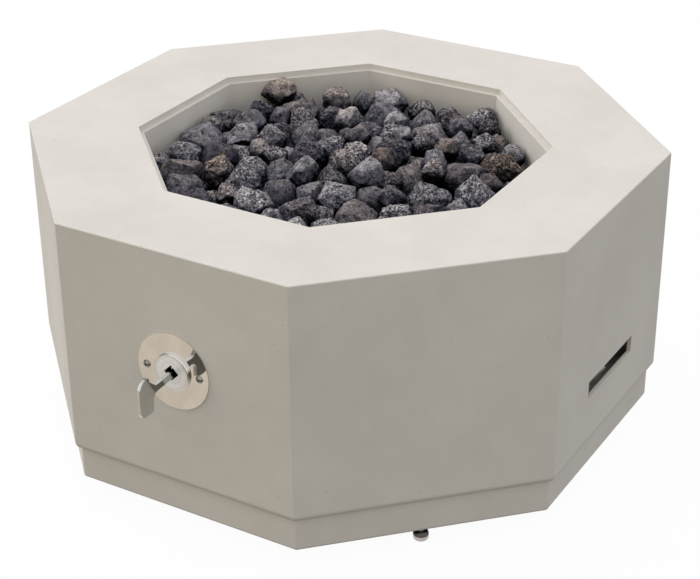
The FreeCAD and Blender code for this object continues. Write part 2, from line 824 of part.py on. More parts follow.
def valve_key():
    """Plate key: a flat upright paddle on a flat bar, and a square end for the stem."""
    start = Vector(-key_thickness / 2, 0, valve_height)
    corners = [start + Y_AXIS * y + Z_AXIS * height for y, height, _ in key_outline()]
    plate = Part.Face(Part.makePolygon(corners + corners[:1])).extrude(X_AXIS * key_thickness)
    for corner, (_, _, radius) in zip(corners, key_outline()):
        if radius > 0:
            plate = plate.makeFillet(radius, edges_at(plate, corner))
    sides = [edge for edge in plate.Edges if edge.BoundBox.XLength < same_place]
    outer = [edge for edge in sides if edge.BoundBox.YMax < stem_front - 2 * socket_gap]
    plate = plate.makeFillet(key_edge_radius, outer)
    end = square_bar(key_end_side, stem_front - gland_length / 2, socket_end - key_end_clearance)
    return plate.fuse(end).removeSplitter()


class Rock:
    """A stone: where it lies, how large it is, and the planes that bound it."""

    def __init__(self, centre, radius, base):
        self.centre = centre
        self.radius = radius
        self.base = base
        self.planes = []


def heap_height(x, y):
    """Height of the stones' surface over a place."""
    spread = min(1.0, math.hypot(x, y) / rock_heap_radius)
    lean = math.radians(rock_lean_angle)
    share = (x * math.cos(lean) + y * math.sin(lean)) / rock_heap_radius
    heap = rock_heap_rise * math.cos(0.5 * math.pi * spread) + rock_lean_rise * share
    return top - rock_wall_drop + heap


def inside_bowl(x, y, margin, flats):
    """Whether a place is at least a margin inside the octagon."""
    reach = flats / 2 - margin
    diagonal = (abs(x) + abs(y)) / math.sqrt(2)
    return max(abs(x), abs(y), diagonal) <= reach


def burner_leaves_room(x, y, radius):
    """Whether a stone beside the burner clears its tubes and hub."""
    reach = math.hypot(x, y)
    side = rock_side_share * radius + ring_tube_radius
    if abs(reach - ring_radius) < side or reach < hub_radius + rock_rest_share * radius:
        return False
    return abs(y) > side or reach > ring_radius


def drop_rocks(count, smallest, largest, floor, flats, base):
    """Let stones fall one by one on those below, as far as the surface allows."""
    rocks = []
    for attempt in range(count):
        share = random.random() ** 1.5
        radius = largest - (largest - smallest) * min(1.0, attempt / count + 0.6 * share)
        x = random.uniform(-0.5, 0.5) * flats
        y = random.uniform(-0.5, 0.5) * flats
        if not inside_bowl(x, y, rock_wall_share * radius, flats):
            continue
        if base and not burner_leaves_room(x, y, radius):
            continue
        height = floor + rock_rest_share * radius
        for rock in rocks:
            reach = rock_packing * (radius + rock.radius)
            apart = math.hypot(x - rock.centre.x, y - rock.centre.y)
            if apart < reach:
                height = max(height, rock.centre.z + math.sqrt(reach**2 - apart**2))
        limit = hub_top if base else heap_height(x, y)
        if height + rock_crown * radius <= limit:
            rocks.append(Rock(Vector(x, y, height), radius, base))
    return rocks


def wall_planes(flats, low, high):
    """Planes of the octagonal bowl, its floor and, below the burner's top, its ceiling."""
    planes = [(Vector(0, 0, -1), -low - rock_wall_gap)]
    if high:
        planes.append((Vector(0, 0, 1), high - rock_wall_gap))
    for i in range(8):
        turn = math.radians(45 * i)
        planes.append((Vector(math.cos(turn), math.sin(turn), 0), flats / 2 - rock_wall_gap))
    return planes


def burner_planes(rock):
    """Planes that keep a stone off the burner's ring, arms and hub."""
    outward = Vector(rock.centre.x, rock.centre.y, 0)
    reach = outward.Length
    outward = outward.normalize()
    if reach > ring_radius:
        return [(outward * -1, -(ring_radius + ring_tube_radius + rock_wall_gap))]
    side = 1 if rock.centre.y > 0 else -1
    return [
        (outward, ring_radius - ring_tube_radius - ring_side_margin),
        (outward * -1, -(hub_radius + rock_wall_gap)),
        (Vector(0, -side, 0), -(ring_tube_radius + rock_wall_gap)),
    ]


def part_planes(rock, rocks):
    """Planes halfway to each neighbour, so that two stones never meet."""
    planes = []
    for other in rocks:
        apart = other.centre - rock.centre
        reach = rock.radius + other.radius
        if other is not rock and apart.Length < rock_neighbour_share * reach:
            middle = rock.centre + apart * (rock.radius / reach)
            normal = apart.normalize()
            planes.append((normal, normal.dot(middle) - rock_gap))
    return planes


def facet_planes(rock):
    """Random facets that give a stone its own lumpy form."""
    stretch = [random.uniform(*rock_stretch) for _ in range(3)]
    planes = []
    for i in range(rock_facets):
        height = 1 - (2 * i + 1) / rock_facets
        turn = golden_angle * i + random.uniform(-rock_facet_swing, rock_facet_swing)
        level = math.sqrt(1 - height**2)
        normal = Vector(level * math.cos(turn), level * math.sin(turn), height)
        tilt = Vector(*(random.uniform(-rock_facet_tilt, rock_facet_tilt) for _ in range(3)))
        normal = (normal + tilt).normalize()
        reach = rock.radius * random.uniform(*rock_reach)
        reach *= Vector(normal.x * stretch[0], normal.y * stretch[1], normal.z * stretch[2]).Length
        planes.append((normal, normal.dot(rock.centre) + reach))
    return planes


def clip(faces, normal, offset):
    """Cut a convex solid, held as a list of corner rings, with one plane."""
    kept = []
    rim = []
    for ring in faces:
        heights = [normal.dot(point) - offset for point in ring]
        new_ring = []
        for i, point in enumerate(ring):
            following = ring[(i + 1) % len(ring)]
            here = heights[i]
            there = heights[(i + 1) % len(ring)]
            if here <= 0:
                new_ring.append(point)
            if here * there < 0:
                cut = point + (following - point) * (here / (here - there))
                new_ring.append(cut)
                rim.append(cut)
        if len(new_ring) > 2:
            kept.append(new_ring)
    corners = []
    for point in rim:
        if all(point.distanceToPoint(other) > same_corner for other in corners):
            corners.append(point)
    if len(corners) > 2:
        kept.append(ring_in_order(corners, normal))
    return kept


def ring_in_order(corners, normal):
    """Corners of a convex face, ordered round its middle."""
    middle = sum(corners, Vector()) * (1 / len(corners))
    side = normal.cross(corners[0] - middle).normalize()
    other = normal.cross(side)
    return sorted(corners, key=lambda p: math.atan2((p - middle).dot(other), (p - middle).dot(side)))


def shortest_edge(faces):
    """Length of the shortest edge of a list of corner rings."""
    lengths = []
    for ring in faces:
        for i, point in enumerate(ring):
            lengths.append(point.distanceToPoint(ring[i - 1]))
    return min(lengths)


def rock_solid(rock, fixed_planes):
    """Stone bounded by its fixed planes and by facets that leave no tiny edge."""
    reach = 2 * rock.radius
    cube = block(*((value - reach, value + reach) for value in rock.centre))
    start = [[vertex.Point for vertex in face.OuterWire.OrderedVertexes] for face in cube.Faces]
    faces = start
    for _ in range(rock_facet_tries):
        faces = start
        for normal, offset in fixed_planes:
            faces = clip(faces, normal, offset - random.uniform(0, rock_plane_play))
        for normal, offset in facet_planes(rock):
            faces = clip(faces, normal, offset)
        if shortest_edge(faces) > rock_shortest_edge:
            break
    shell = Part.makeShell([Part.Face(Part.makePolygon(ring + ring[:1])) for ring in faces])
    return Part.makeSolid(shell)


def lava_rock():
    """The filling: stones beside the burner, stones over it, and the stones seen on top."""
    random.seed(rock_seed)
    pan_inside = bowl_across_flats - 2 * (pan_play + pan_thickness)
    base = drop_rocks(rock_base_tries, rock_base_small, rock_base_large, pan_floor, pan_inside, True)
    upper = drop_rocks(rock_tries, rock_small, rock_large, hub_top, bowl_across_flats, False)
    leaning_place = Vector(leaning_rock_x, leaning_rock_y, top - leaning_rock_drop)
    upper.append(Rock(leaning_place, leaning_rock_radius, False))
    groups = {"lava_rock_base": [], "lava_rock_fill": [], "lava_rock_top": []}
    for rock in base:
        planes = wall_planes(pan_inside, pan_floor, hub_top) + burner_planes(rock)
        groups["lava_rock_base"].append(rock_solid(rock, planes + part_planes(rock, base)))
    for rock in upper:
        planes = wall_planes(bowl_across_flats, hub_top, None) + part_planes(rock, upper)
        deep = heap_height(rock.centre.x, rock.centre.y) - rock.centre.z > rock_top_depth
        groups["lava_rock_fill" if deep else "lava_rock_top"].append(rock_solid(rock, planes))
    return groups


def main():
    os.makedirs("parts", exist_ok=True)
    save("concrete_shell", concrete_shell())
    save("foot_inserts", foot_inserts())
    for corner, angle in foot_angles.items():
        save("foot_pad_" + corner, foot_pad(angle))
        save("foot_stud_" + corner, foot_stud(angle))
    save("burner_pan", burner_pan())
    save("burner_ring", burner_ring())
    save("burner_arms", burner_arms())
    save("burner_hub", burner_hub())
    save("hub_washer", hub_washer())
    save("hub_nut", hub_nut())
    save("hub_elbow", hub_elbow())
    save("orifice_jet", orifice_jet())
    save("inlet_elbow", inlet_elbow())
    save("gas_line", gas_line())
    save("line_nuts", line_nuts())
    save("valve_body", valve_body())
    save("valve_ball", valve_ball())
    save("ball_seats", ball_seats())
    save("outlet_fitting", outlet_fitting())
    save("valve_stem", valve_stem())
    save("stem_seal", stem_seal())
    save("stem_gland", stem_gland())
    save("wall_washer", wall_washer())
    save("wall_nut", wall_nut())
    save("valve_plate", valve_plate())
    save("valve_bezel", valve_bezel())
    save("plate_screws", plate_screws())
    save("wall_plugs", wall_plugs())
    save("valve_key", valve_key())
    for node, stones in lava_rock().items():
        save(node, Part.makeCompound(stones))


main()
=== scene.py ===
import math
import random

import bpy
from mathutils import Matrix, Vector


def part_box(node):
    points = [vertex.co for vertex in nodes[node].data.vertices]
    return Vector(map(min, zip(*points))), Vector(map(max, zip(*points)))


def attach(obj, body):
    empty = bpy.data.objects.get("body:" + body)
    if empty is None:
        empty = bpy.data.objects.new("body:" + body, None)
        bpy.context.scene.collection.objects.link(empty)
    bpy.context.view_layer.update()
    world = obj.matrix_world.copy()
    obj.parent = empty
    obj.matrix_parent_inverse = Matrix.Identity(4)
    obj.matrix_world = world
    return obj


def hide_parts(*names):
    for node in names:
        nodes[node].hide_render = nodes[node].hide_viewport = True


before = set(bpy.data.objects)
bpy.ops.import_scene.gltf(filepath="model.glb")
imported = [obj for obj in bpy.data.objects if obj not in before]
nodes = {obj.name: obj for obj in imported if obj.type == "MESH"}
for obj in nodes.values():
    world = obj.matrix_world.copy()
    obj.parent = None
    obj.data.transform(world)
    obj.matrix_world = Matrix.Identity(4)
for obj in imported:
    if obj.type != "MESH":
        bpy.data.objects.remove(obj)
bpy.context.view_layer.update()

# ---------------------------------------------------------------------------------------------
# Camera. It looks down on the bowl from the front right through a long lens, and sees the
# valve's face on the left and a slotted face on the right.

camera_place = Vector((0.82207, -1.37625, 0.96562))
camera_turn = math.radians(30.632)
camera_drop = math.radians(27.864)
camera_roll = -0.00777
film_width = 36
lens_per_width = 2.474

camera_data = bpy.data.cameras.new("camera")
camera_data.sensor_width = film_width
camera_data.lens = film_width * lens_per_width
camera = bpy.data.objects.new("camera", camera_data)
bpy.context.scene.collection.objects.link(camera)
heading = Matrix.Rotation(camera_turn, 4, "Z") @ Matrix.Rotation(math.pi / 2 - camera_drop, 4, "X")
roll = Matrix.Rotation(camera_roll, 4, "Z")
camera.matrix_world = Matrix.Translation(camera_place) @ heading @ roll
bpy.context.scene.camera = camera
bpy.context.scene.view_settings.view_transform = "Standard"

# ---------------------------------------------------------------------------------------------
# Floor. The bowl stands on a wide, plain white floor. Metal mirrors it as cream near the bowl,
# darker further out with a painted shadow on the shadow side, and painted black shade under the
# bowl.


class Wire:
    """A shader socket that can stand in a sum: each operator adds one Math node."""

    def __init__(self, finish, socket):
        self.finish = finish
        self.socket = socket

    def math(self, operation, first, second):
        return self.finish.node("ShaderNodeMath", {"operation": operation}, {0: first, 1: second})

    def __add__(self, other):
        return self.math("ADD", self, other)

    def __radd__(self, other):
        return self.math("ADD", other, self)

    def __sub__(self, other):
        return self.math("SUBTRACT", self, other)

    def __rsub__(self, other):
        return self.math("SUBTRACT", other, self)

    def __mul__(self, other):
        return self.math("MULTIPLY", self, other)

    def __rmul__(self, other):
        return self.math("MULTIPLY", other, self)

    def __gt__(self, other):
        return self.math("GREATER_THAN", self, other)


class Finish:
    """A material, or the world, made of nodes."""

    def __init__(self, name, owner=None):
        self.owner = owner or bpy.data.materials.new(name)
        self.owner.use_nodes = True
        self.tree = self.owner.node_tree
        self.tree.nodes.clear()

    def node(self, kind, settings, inputs, output=0):
        """Add one node: its settings first, then the value or link of each socket."""
        made = self.tree.nodes.new(kind)
        for key, value in settings.items():
            setattr(made, key, value)
        for key, value in inputs.items():
            if isinstance(value, Wire):
                self.tree.links.new(value.socket, made.inputs[key])
            else:
                made.inputs[key].default_value = value
        if len(made.outputs):
            return Wire(self, made.outputs[output])

    def place(self):
        return self.node("ShaderNodeTexCoord", {}, {}, "Object")

    def vector_math(self, operation, *vectors, output=0):
        """Add one Vector Math node; a plain number comes out at "Value"."""
        settings = {"operation": operation}
        return self.node("ShaderNodeVectorMath", settings, dict(enumerate(vectors)), output)

    def noise(self, where, scale, detail, roughness, output=0):
        inputs = {"Vector": where, "Scale": scale, "Detail": detail, "Roughness": roughness}
        return self.node("ShaderNodeTexNoise", {}, inputs, output)

    def mix(self, share, first, second, blend="MIX"):
        settings = {"data_type": "RGBA", "blend_type": blend}
        return self.node("ShaderNodeMix", settings, {0: share, 6: first, 7: second}, 2)

    def scaled(self, colour, value):
        """Multiply a colour by a value."""
        grey = self.node("ShaderNodeCombineColor", {}, {0: value, 1: value, 2: value})
        return self.mix(1.0, colour, grey, "MULTIPLY")

    def spread(self, value, low, high, new_low=0.0, new_high=1.0):
        """Stretch a value from one range to another, and hold it at the ends."""
        inputs = {0: value, 1: low, 2: high, 3: new_low, 4: new_high}
        return self.node("ShaderNodeMapRange", {}, inputs)

    def bump(self, height, distance, strength=1.0):
        inputs = {"Height": height, "Distance": distance, "Strength": strength}
        return self.node("ShaderNodeBump", {}, inputs)

    def surface(self, **sockets):
        """Close the material with one shader, and return it."""
        inputs = {key.replace("_", " "): value for key, value in sockets.items()}
        shader = self.node("ShaderNodeBsdfPrincipled", {}, inputs)
        self.node("ShaderNodeOutputMaterial", {}, {"Surface": shader})
        return self.owner


def ray_kinds(finish):
    """1 for rays straight from the camera, and 1 for rays by way of metal and glass."""
    path = finish.tree.nodes.new("ShaderNodeLightPath")
    camera_ray = Wire(finish, path.outputs["Is Camera Ray"])
    glossy_ray = Wire(finish, path.outputs["Is Glossy Ray"])
    clear_ray = Wire(finish, path.outputs["Is Transmission Ray"])
    return camera_ray, camera_ray.math("MAXIMUM", glossy_ray, clear_ray)


floor_size = 60.0
plain_white = (1, 1, 1, 1)
floor_paint = (0.9, 0.9, 0.9, 1)
bpy.ops.object.select_all(action="DESELECT")
bpy.ops.mesh.primitive_plane_add(size=floor_size)
floor = bpy.context.object
floor.name = "floor"
finish = Finish("white_floor")
camera_ray, mirror_ray = ray_kinds(finish)
white = finish.node("ShaderNodeEmission", {}, {"Color": plain_white})
pale = finish.node("ShaderNodeBsdfDiffuse", {}, {"Color": floor_paint})

# Under the bowl, apart from the strip seen below the plinth's near edges, the floor stops glowing:
# the camera sees its real shade there, and metal sees it painted black, as painted shade.
octagon_sides = 8
plinth_half_width = 0.294
floor_gap = 0.014
shade_edge_width = 0.003
toward_camera = Vector((camera_place.x, camera_place.y, 0)).normalized()
floor_place = finish.place()
outside = 0.0
for side in range(octagon_sides):
    angle = side * 2 * math.pi / octagon_sides
    normal = Vector((math.cos(angle), math.sin(angle), 0))
    seen_strip = floor_gap / math.tan(camera_drop) * max(0.0, normal.dot(toward_camera))
    limit = plinth_half_width - seen_strip
    reach = finish.vector_math("DOT_PRODUCT", floor_place, normal, output="Value")
    past = finish.spread(reach, limit - shade_edge_width, limit)
    outside = past.math("MAXIMUM", past, outside)

# For metal the floor glows cream near the bowl, with a painted shadow out on the front right.
shadow_middle = (0.40, -0.80, 0.0)
shadow_inner, shadow_outer = 0.36, 0.56
cream_inner, cream_outer = 0.34, 0.44
shadowed_floor = (0.13, 0.125, 0.11, 1)
far_floor = (0.66, 0.60, 0.52, 1)
near_floor = (0.92, 0.90, 0.88, 1)
painted_shade_under_bowl = (0.02, 0.02, 0.02, 1)
dim_floor = (0.16, 0.155, 0.15, 1)
floor_glow_share = 0.96
from_shadow = finish.vector_math("DISTANCE", floor_place, shadow_middle, output="Value")
from_middle = finish.vector_math("LENGTH", floor_place, output="Value")
beyond = finish.mix(
    finish.spread(from_shadow, shadow_inner, shadow_outer), shadowed_floor, far_floor
)
reflected = finish.mix(finish.spread(from_middle, cream_inner, cream_outer), near_floor, beyond)
# Painted shade: metal sees the floor black under the bowl.
reflected = finish.mix(outside, painted_shade_under_bowl, reflected)
cream = finish.node("ShaderNodeEmission", {}, {"Color": reflected})
dim = finish.node("ShaderNodeBsdfDiffuse", {}, {"Color": dim_floor})
seen = finish.node("ShaderNodeMixShader", {}, {0: outside * floor_glow_share, 1: pale, 2: white})
unseen = finish.node("ShaderNodeMixShader", {}, {0: mirror_ray, 1: dim, 2: cream})
mixed = finish.node("ShaderNodeMixShader", {}, {0: camera_ray, 1: unseen, 2: seen})
finish.node("ShaderNodeOutputMaterial", {}, {"Surface": mixed})
floor.data.materials.append(finish.owner)

# ---------------------------------------------------------------------------------------------
# Light. A daylight tent stands round the bowl: even white cloth, a little greyer to the front
# right and warmer low in front, with a dark doorway on the left that only metal mirrors. Two
# broad windows of light add to it, low on the left and behind.

tent_white = (0.97, 0.965, 0.955, 1)
tent_grey = (0.89, 0.89, 0.90, 1)
tent_warmth = (0.97, 0.875, 0.65, 1)
doorway_dark = (0.10, 0.09, 0.08, 1)
front_right = (0.64, -0.64, -0.42)
low_front = (-0.12, -0.86, -0.50)
doorway_side = (-0.95, 0.05, 0.30)

world = bpy.data.worlds.new("daylight_tent")
bpy.context.scene.world = world
finish = Finish("daylight_tent", world)
camera_ray, mirror_ray = ray_kinds(finish)
direction = finish.node("ShaderNodeTexCoord", {}, {}, "Generated")


def toward(side):
    """How far a ray points to one side of the tent: 1 straight at it, less all round."""
    return finish.vector_math("DOT_PRODUCT", direction, side, output="Value")


tent_colour = finish.mix(finish.spread(toward(front_right), -0.6, 0.9), tent_white, tent_grey)
warmth = finish.mix(finish.spread(toward(low_front), 0.0, 0.85), plain_white, tent_warmth)
tent_colour = finish.mix(1.0, tent_colour, warmth, "MULTIPLY")
tent = finish.node("ShaderNodeBackground", {}, {"Color": tent_colour, "Strength": 1.0})
doorway = finish.spread(toward(doorway_side), 0.72, 0.9) * (mirror_ray - camera_ray)
seen_colour = finish.mix(doorway, plain_white, doorway_dark)
white = finish.node("ShaderNodeBackground", {}, {"Color": seen_colour, "Strength": 1.0})
clear_view = camera_ray.math("MAXIMUM", camera_ray, mirror_ray)
mixed = finish.node("ShaderNodeMixShader", {}, {0: clear_view, 1: tent, 2: white})
finish.node("ShaderNodeOutputWorld", {}, {"Surface": mixed})


def soft_sun(name, toward_lamp, energy, spread_degrees):
    """A broad window of light that metal doesn't mirror."""
    data = bpy.data.lights.new(name, "SUN")
    data.energy = energy
    data.angle = math.radians(spread_degrees)
    lamp = bpy.data.objects.new(name, data)
    bpy.context.scene.collection.objects.link(lamp)
    lamp.rotation_euler = Vector(toward_lamp).to_track_quat("Z", "Y").to_euler()
    lamp.visible_glossy = False


soft_sun("low_left", (-0.92, -0.05, 0.38), energy=1.42, spread_degrees=45)
soft_sun("behind", (-0.3, 0.75, 0.6), energy=0.25, spread_degrees=60)

# ---------------------------------------------------------------------------------------------
# Concrete shell. One glass-fibre concrete casting, sprayed into an octagonal mould and sealed
# matt: fine sand, a few pinholes, and faint clouds of paler and darker cement.

noise_band = (0.3, 0.7)
grey_cement = (0.630, 0.608, 0.580, 1)
warm_cement = (0.645, 0.616, 0.576, 1)
pinhole_painted_shade = (0.2, 0.19, 0.17, 1)
pinhole_scale = 110.0
pinhole_rarity = 0.9

finish = Finish("cast_concrete")
where = finish.place()
clouds = finish.noise(where, scale=7.0, detail=3.0, roughness=0.5)
blotches = finish.noise(where, scale=34.0, detail=4.0, roughness=0.6)
sand = finish.noise(where, scale=1400.0, detail=2.0, roughness=0.7)
tone = finish.spread(clouds, *noise_band, 0.955, 1.045)
tone = tone * finish.spread(blotches, *noise_band, 0.975, 1.025)
tone = tone * finish.spread(sand, 0.25, 0.75, 0.95, 1.05)
colour = finish.scaled(finish.mix(clouds, warm_cement, grey_cement), tone)


def nearest_pinhole(output):
    """The distance to the nearest possible pinhole, or that pinhole's own random colour."""
    inputs = {"Vector": where, "Scale": pinhole_scale, "Randomness": 1.0}
    return finish.node("ShaderNodeTexVoronoi", {"feature": "F1"}, inputs, output)


away = nearest_pinhole("Distance")
chance = finish.node("ShaderNodeSeparateColor", {}, {0: nearest_pinhole("Color")})
chosen = chance > pinhole_rarity
pinholes = finish.spread(away, 0.05, 0.11, 1.0, 0.0) * chosen
# Painted shade: the pinholes are painted darker inside, as well as dented by the bump.
colour = finish.mix(pinholes * 0.45, colour, pinhole_painted_shade)
relief = blotches * 0.25 + sand * 0.12 - pinholes * 0.6
concrete = finish.surface(
    Base_Color=colour,
    Roughness=finish.spread(blotches, *noise_band, 0.62, 0.78),
    Normal=finish.bump(relief, distance=0.0006, strength=0.6),
    IOR=1.45,
)


def dress(name, material):
    """Give a carried-over node its finish."""
    slots = nodes[name].data.materials
    slots.clear()
    slots.append(material)


dress("concrete_shell", concrete)

# ---------------------------------------------------------------------------------------------
# Lava rock. Broken volcanic stone, black to grey with a brown cast here and there, full of gas
# bubbles, some stones much more than others. Each stone is its imported solid, rounded off and
# hollowed, and lies loose on its neighbours; the sides that face up are painted pale, as dust and
# painted light, and the low sides dark, as painted shade.

cold_dark, cold_pale = (0.060, 0.055, 0.068, 1), (0.190, 0.181, 0.202, 1)
warm_dark, warm_pale = (0.085, 0.066, 0.060, 1), (0.210, 0.168, 0.148, 1)
# Tints for painted shade on the low sides, and for dust and painted light on the upward sides.
painted_shade_tint, dusty_and_lit_tint = (0.70, 0.80, 1.06, 1), (1.06, 1.045, 0.98, 1)
bubble_wander = (0.004, 0.004, 0.004)

finish = Finish("lava")
where = finish.place()


def stone_value(name):
    """A value that each stone's mesh carries."""
    return finish.node("ShaderNodeAttribute", {"attribute_name": name}, {}, "Fac")


def bubbles(scale):
    """Distance from the middle of the nearest gas bubble, in bubbles."""
    inputs = {"Vector": bent, "Scale": scale}
    return finish.node("ShaderNodeTexVoronoi", {"feature": "F1"}, inputs)


shade = stone_value("stone_shade")
warmth = stone_value("stone_warmth")
dust_and_light = stone_value("stone_dust_and_light")
patches = finish.noise(where, scale=75.0, detail=2.0, roughness=0.5)
porous = finish.spread(stone_value("stone_porous") + patches * 0.8, 0.55, 1.15)
wander = finish.noise(where, scale=420.0, detail=2.0, roughness=0.5, output="Color")
bent = finish.vector_math("MULTIPLY_ADD", wander, bubble_wander, where)
crust = finish.noise(where, scale=130.0, detail=5.0, roughness=0.65)
grain = finish.noise(where, scale=1300.0, detail=3.0, roughness=0.7)
wide = finish.spread(bubbles(140.0), 0.10, 0.26)
middle = finish.spread(bubbles(400.0), 0.22, 0.66)
fine = finish.spread(bubbles(800.0), 0.20, 0.66)

# Bubbles are painted darker inside, as painted shade in their hollows, the middle-sized ones only
# where it is porous.
bubble_shade = finish.spread(middle, 0.0, 1.0, 0.14, 1.5)
bubble_shade = porous * (bubble_shade - 1.0) + 1.0
bubble_shade = bubble_shade * finish.spread(fine, 0.0, 1.0, 0.42, 1.4)
cold = finish.mix(shade, cold_dark, cold_pale)
warm = finish.mix(shade, warm_dark, warm_pale)
colour = finish.mix(warmth, cold, warm)

# A stone is painted bluish and dark low down and below, as painted shade, and warmer and paler
# where it lies open, as pale dust and painted light.
lit_and_dusty = finish.spread(dust_and_light + crust * 0.5, 0.69, 1.22)
tint = finish.mix(lit_and_dusty, painted_shade_tint, dusty_and_lit_tint)
colour = finish.mix(1.0, colour, tint, "MULTIPLY")
# Painted light and shade: up to about 2.2 times brighter where a stone faces up and lies high,
# near black below, with crust and grain tone.
painted_light_dust_and_grain = (lit_and_dusty * 2.2 + 0.04) * finish.spread(crust, 0.35, 0.7, 0.65, 1.3)
painted_light_dust_and_grain = painted_light_dust_and_grain * finish.spread(grain, *noise_band, 0.6, 1.45)
# Painted shade inside the bubbles, the wide ones on every stone.
painted_light_dust_and_grain = painted_light_dust_and_grain * finish.spread(wide, 0.0, 1.0, 0.25, 1.0) * bubble_shade
colour = finish.scaled(colour, painted_light_dust_and_grain)
relief = wide * 1.0 + middle * porous * 1.1 + fine * 0.4 + crust * 0.9 + grain * 0.15
lava = finish.surface(
    Base_Color=colour,
    Roughness=finish.spread(grain, *noise_band, 0.68, 0.92),
    Normal=finish.bump(relief, distance=0.0018),
    Specular_IOR_Level=0.05,
)

stone_voxel = {"lava_rock_top": 0.0015, "lava_rock_fill": 0.0025, "lava_rock_base": 0.003}
stones_per_piece = 32
same_corner = 1e-6
smooth_factor, smooth_rounds = 0.5, 2
lump_depth = 0.0026
hollow_depth, porous_hollow_depth = 0.0004, 0.0022
grit_depth = 0.0014
shade_bias = 1.3
warm_spread = 0.32
# Weights of facing up and of height in each stone's dust and painted light.
light_and_dust_from_facing, light_and_dust_from_height = 0.55, 0.45
stone_seed = 482

lump_texture = bpy.data.textures.new("stone_lumps", "CLOUDS")
lump_texture.noise_scale = 0.014
lump_texture.noise_depth = 2
hollow_texture = bpy.data.textures.new("stone_hollows", "VORONOI")
hollow_texture.noise_scale = 0.0062
hollow_texture.distance_metric = "DISTANCE"
grit_texture = bpy.data.textures.new("stone_grit", "CLOUDS")
grit_texture.noise_scale = 0.0035
grit_texture.noise_depth = 2


def apply_modifier(piece, kind, **settings):
    """Add one modifier to the active piece and apply it."""
    modifier = piece.modifiers.new(kind.lower(), kind)
    for key, value in settings.items():
        setattr(modifier, key, value)
    bpy.ops.object.modifier_apply(modifier=modifier.name)


def split_stones(node):
    """Copy a node and part the copy into its separate stones."""
    bpy.ops.object.select_all(action="DESELECT")
    copy = nodes[node].copy()
    copy.data = nodes[node].data.copy()
    copy.parent = None
    for key in list(copy.keys()):
        del copy[key]
    bpy.context.scene.collection.objects.link(copy)
    copy.select_set(True)
    bpy.context.view_layer.objects.active = copy
    bpy.ops.object.mode_set(mode="EDIT")
    bpy.ops.mesh.select_all(action="SELECT")
    bpy.ops.mesh.remove_doubles(threshold=same_corner)
    bpy.ops.mesh.separate(type="LOOSE")
    bpy.ops.object.mode_set(mode="OBJECT")
    return list(bpy.context.selected_objects)


def displace(stone, texture, strength, middle_level):
    """Push a stone's surface in and out by a pattern."""
    settings = {"texture": texture, "texture_coords": "GLOBAL"}
    apply_modifier(stone, "DISPLACE", **settings, strength=strength, mid_level=middle_level)


def weather(stone, voxel, pitted, porous):
    """Round a stone's edges and open its hollows, which are deeper in a porous stone."""
    bpy.ops.object.select_all(action="DESELECT")
    stone.select_set(True)
    bpy.context.view_layer.objects.active = stone
    apply_modifier(stone, "REMESH", mode="VOXEL", voxel_size=voxel)
    apply_modifier(stone, "SMOOTH", factor=smooth_factor, iterations=smooth_rounds)
    displace(stone, lump_texture, lump_depth, middle_level=0.6)
    if pitted:
        depth = hollow_depth + porous_hollow_depth * porous
        displace(stone, hollow_texture, depth, middle_level=0.75)
        displace(stone, grit_texture, grit_depth, middle_level=0.6)


def colour_stone(stone, porous):
    """Give a stone one shade, warmth and bubble size, and painted light and dust where it faces up
    and lies open.
    """
    corners = len(stone.data.vertices)
    heights = [corner.co.z for corner in stone.data.vertices]
    low = min(heights)
    rise = max(heights) - low
    facing = [normal.vector.z * 0.5 + 0.5 for normal in stone.data.vertex_normals]
    raised = [(height - low) / rise for height in heights]
    values = {
        "stone_shade": [random.random() ** shade_bias] * corners,
        "stone_warmth": [min(1.0, max(0.0, random.gauss(0.0, warm_spread)))] * corners,
        "stone_porous": [porous] * corners,
        "stone_dust_and_light": [
            light_and_dust_from_facing * up + light_and_dust_from_height * share for up, share in zip(facing, raised)
        ],
    }
    for name, value in values.items():
        stone.data.attributes.new(name, "FLOAT", "POINT").data.foreach_set("value", value)


random.seed(stone_seed)
for node, voxel in stone_voxel.items():
    stones = split_stones(node)
    stones.sort(key=lambda stone: tuple(round(value, 5) for value in stone.data.vertices[0].co))
    for stone in stones:
        porous = random.random()
        weather(stone, voxel, node == "lava_rock_top", porous)
        colour_stone(stone, porous)
    for first in range(0, len(stones), stones_per_piece):
        bpy.ops.object.select_all(action="DESELECT")
        group = stones[first:first + stones_per_piece]
        for stone in group:
            stone.select_set(True)
        bpy.context.view_layer.objects.active = group[0]
        bpy.ops.object.join()
        pile = bpy.context.object
        number = first // stones_per_piece + 1
        pile.name = node.replace("lava_rock", "lava_stones") + "_" + str(number)
        bpy.ops.object.shade_smooth()
        pile.data.materials.clear()
        pile.data.materials.append(lava)
        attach(pile, "bowl")
        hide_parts(node)

# ---------------------------------------------------------------------------------------------
# Valve plate, its screws and the key. The plate is thin stainless, polished to a mirror and held
# by two steel screws; the key is stamped from steel plate, chromed, and lifts out of its hole.


def metal(name, colour, rough, scratch, scale=(1.0, 1.0, 1.0)):
    """Metal with fine polishing marks and a little uneven tarnish."""
    tarnish_share = 0.12
    finish = Finish(name)
    where = finish.place()
    along = finish.node("ShaderNodeMapping", {}, {"Vector": where, "Scale": scale})
    marks = finish.noise(along, scale=900.0, detail=4.0, roughness=0.65)
    film = finish.noise(where, scale=45.0, detail=3.0, roughness=0.5)
    darker = tuple(value * (1 - tarnish_share) for value in colour) + (1,)
    tint = finish.mix(finish.spread(film, *noise_band), darker, (*colour, 1))
    return finish.surface(
        Base_Color=tint,
        Metallic=1.0,
        Roughness=finish.spread(marks, *noise_band, rough * 0.75, rough * 1.3),
        Normal=finish.bump(marks, distance=0.00004, strength=scratch),
    )


